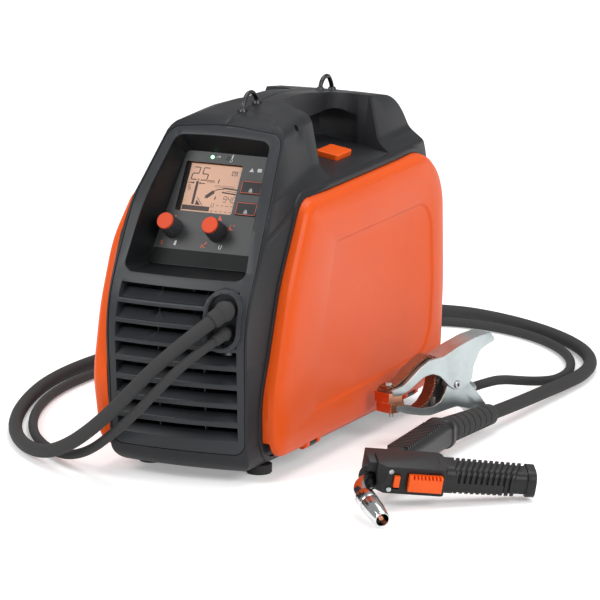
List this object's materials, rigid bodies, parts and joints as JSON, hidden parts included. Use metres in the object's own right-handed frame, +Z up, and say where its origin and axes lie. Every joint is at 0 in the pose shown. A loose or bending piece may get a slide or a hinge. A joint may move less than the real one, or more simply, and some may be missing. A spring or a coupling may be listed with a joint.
{
  "type": "mig welding machine",
  "caption": "Portable MIG welding inverter with a tilting side door, display and knobs, louvred front, carrying grip, welding torch on its cable and sprung earth clamp.",
  "frame": {"origin": "on the floor at the middle of the machine's housing, between its four feet", "axes": "+Z up, -Y out of the control front, +X towards the hinged side door, beside which the torch and the earth clamp lie"},
  "size_m": [0.6135, 0.8189, 0.3357],
  "materials": {
    "shell_plastic": "fine grained moulded plastic",
    "cover_plastic": "satin orange moulded plastic",
    "bezel_plastic": "fine grained moulded plastic",
    "membrane": "smooth grey printed sheet",
    "display": "backlit amber display",
    "board": "green lacquered board",
    "lamp": "lit lens",
    "black_rubber": "black rubber",
    "black_plastic": "black moulded plastic",
    "orange_plastic": "satin orange plastic",
    "red_plastic": "satin red-orange plastic",
    "zinc_steel": "zinc plated steel",
    "chrome": "polished chrome",
    "copper": "bare copper",
    "dark_copper": "dull braided copper",
    "brass": "machined brass",
    "aluminium": "extruded aluminium",
    "steel": "steel",
    "wall_steel": "powder coated steel sheet",
    "grey_plastic": "grey plastic",
    "wire": "copper coated steel wire"
  },
  "bodies": {
    "machine": {"housing_left": "shell_plastic", "housing_right": "shell_plastic", "front_bezel": "bezel_plastic", "control_plate": "membrane", "display_glass": "display", "control_board": "board", "status_lamps": "lamp", "cover_left": "cover_plastic", "feet": "black_rubber", "strap_loops": "zinc_steel", "mid_wall": "wall_steel", "power_board": "board", "heat_sink": "aluminium", "transformer": "steel", "fan_frame": "black_plastic", "mains_switch": "black_plastic", "mains_gland": "black_plastic", "gas_inlet": "brass", "gas_valve": "steel", "feeder_plate": "aluminium", "feeder_motor": "steel", "spool_axle": "black_plastic", "cable_glands": "black_plastic", "hinge_pins": "zinc_steel", "housing_screws": "zinc_steel", "rear_panel": "bezel_plastic", "torch_body": "black_plastic", "torch_grip": "black_plastic", "torch_sleeve": "black_rubber", "torch_neck": "chrome", "gas_nozzle": "chrome", "contact_tip": "copper", "torch_screws": "zinc_steel", "clamp_lower": "zinc_steel", "lower_jaw": "copper", "clamp_bolts": "zinc_steel", "clamp_spring": "zinc_steel", "clamp_braid": "dark_copper", "torch_cable": "black_rubber", "earth_cable": "black_rubber"},
    "side_door": {"side_door": "cover_plastic"},
    "latch_button": {"latch_button": "orange_plastic"},
    "knob_left": {"knob_left": "black_plastic", "knob_left_cap": "red_plastic"},
    "knob_right": {"knob_right": "black_plastic", "knob_right_cap": "red_plastic"},
    "mode_key": {"mode_key": "black_plastic"},
    "material_key": {"material_key": "black_plastic"},
    "switch_rocker": {"switch_rocker": "black_plastic"},
    "fan_rotor": {"fan_rotor": "black_plastic"},
    "wire_spool": {"wire_spool": "grey_plastic", "wire_winding": "wire"},
    "drive_roll": {"drive_roll": "steel"},
    "pressure_arm": {"pressure_arm": "aluminium"},
    "pressure_roll": {"pressure_roll": "steel"},
    "tension_knob": {"tension_knob": "red_plastic"},
    "torch_trigger": {"torch_trigger": "orange_plastic"},
    "trigger_lock": {"trigger_lock": "orange_plastic"},
    "clamp_upper": {"clamp_upper": "zinc_steel", "upper_jaw": "copper"}
  },
  "joints": [
    {"name": "door_hinge", "type": "hinge", "parent": "machine", "child": "side_door", "pos_m": [0.0815, 0.02, 0.021], "axis": [0, 1, 0], "range_deg": [0, 13]},
    {"name": "latch_press", "type": "slide", "parent": "machine", "child": "latch_button", "axis": [-0.1599, 0, -0.9871], "range_m": [0, 0.0025], "stiffness_N_per_m": 900, "springref_m": -0.002},
    {"name": "knob_left_turn", "type": "hinge", "parent": "machine", "child": "knob_left", "pos_m": [-0.0375, -0.12704, 0.21853], "axis": [0, -0.848, 0.5299], "range_deg": [-150, 150]},
    {"name": "knob_right_turn", "type": "hinge", "parent": "machine", "child": "knob_right", "pos_m": [0.008, -0.12704, 0.21853], "axis": [0, -0.848, 0.5299], "range_deg": [-150, 150]},
    {"name": "mode_key_press", "type": "slide", "parent": "machine", "child": "mode_key", "axis": [0, 0.848, -0.5299], "range_m": [0, 0.0008], "stiffness_N_per_m": 1500, "springref_m": -0.0005},
    {"name": "material_key_press", "type": "slide", "parent": "machine", "child": "material_key", "axis": [0, 0.848, -0.5299], "range_m": [0, 0.0008], "stiffness_N_per_m": 1500, "springref_m": -0.0005},
    {"name": "switch_turn", "type": "hinge", "parent": "machine", "child": "switch_rocker", "pos_m": [-0.03, 0.1955, 0.19], "axis": [1, 0, 0], "range_deg": [0, 20]},
    {"name": "fan_spin", "type": "hinge", "parent": "machine", "child": "fan_rotor", "pos_m": [-0.026, -0.165, 0.095], "axis": [0, 1, 0], "continuous": true},
    {"name": "spool_turn", "type": "hinge", "parent": "machine", "child": "wire_spool", "pos_m": [0.039, 0.088, 0.132], "axis": [1, 0, 0], "continuous": true},
    {"name": "drive_roll_turn", "type": "hinge", "parent": "machine", "child": "drive_roll", "pos_m": [0.032, -0.075, 0.12], "axis": [1, 0, 0], "continuous": true},
    {"name": "pressure_arm_lift", "type": "hinge", "parent": "machine", "child": "pressure_arm", "pos_m": [0.035, -0.108, 0.158], "axis": [1, 0, 0], "range_deg": [0, 35]},
    {"name": "pressure_roll_turn", "type": "hinge", "parent": "pressure_arm", "child": "pressure_roll", "pos_m": [0.032, -0.075, 0.151], "axis": [1, 0, 0], "continuous": true},
    {"name": "tension_turn", "type": "hinge", "parent": "pressure_arm", "child": "tension_knob", "pos_m": [0.037, -0.046, 0.16], "axis": [0, 0, 1], "range_deg": [-90, 90]},
    {"name": "trigger_pull", "type": "hinge", "parent": "machine", "child": "torch_trigger", "pos_m": [0.23563, -0.19923, 0.02622], "axis": [0.2383, -0.1475, 0.9599], "range_deg": [0, 5.5], "stiffness_Nm_per_rad": 2, "springref_deg": -2.86},
    {"name": "trigger_lock_shift", "type": "slide", "parent": "machine", "child": "trigger_lock", "axis": [-0.2383, 0.1475, -0.9599], "range_m": [0, 0.0026]},
    {"name": "clamp_open", "type": "hinge", "parent": "machine", "child": "clamp_upper", "pos_m": [0.14272, 0.09103, 0.045], "axis": [-0.9272, 0.3746, 0], "range_deg": [0, 20], "stiffness_Nm_per_rad": 3, "springref_deg": -28.65, "deforming": ["clamp_spring", "clamp_braid"]}
  ],
  "couplings": [
    {"joint": "pressure_roll_turn", "follows": "drive_roll_turn", "ratio": -1}
  ]
}
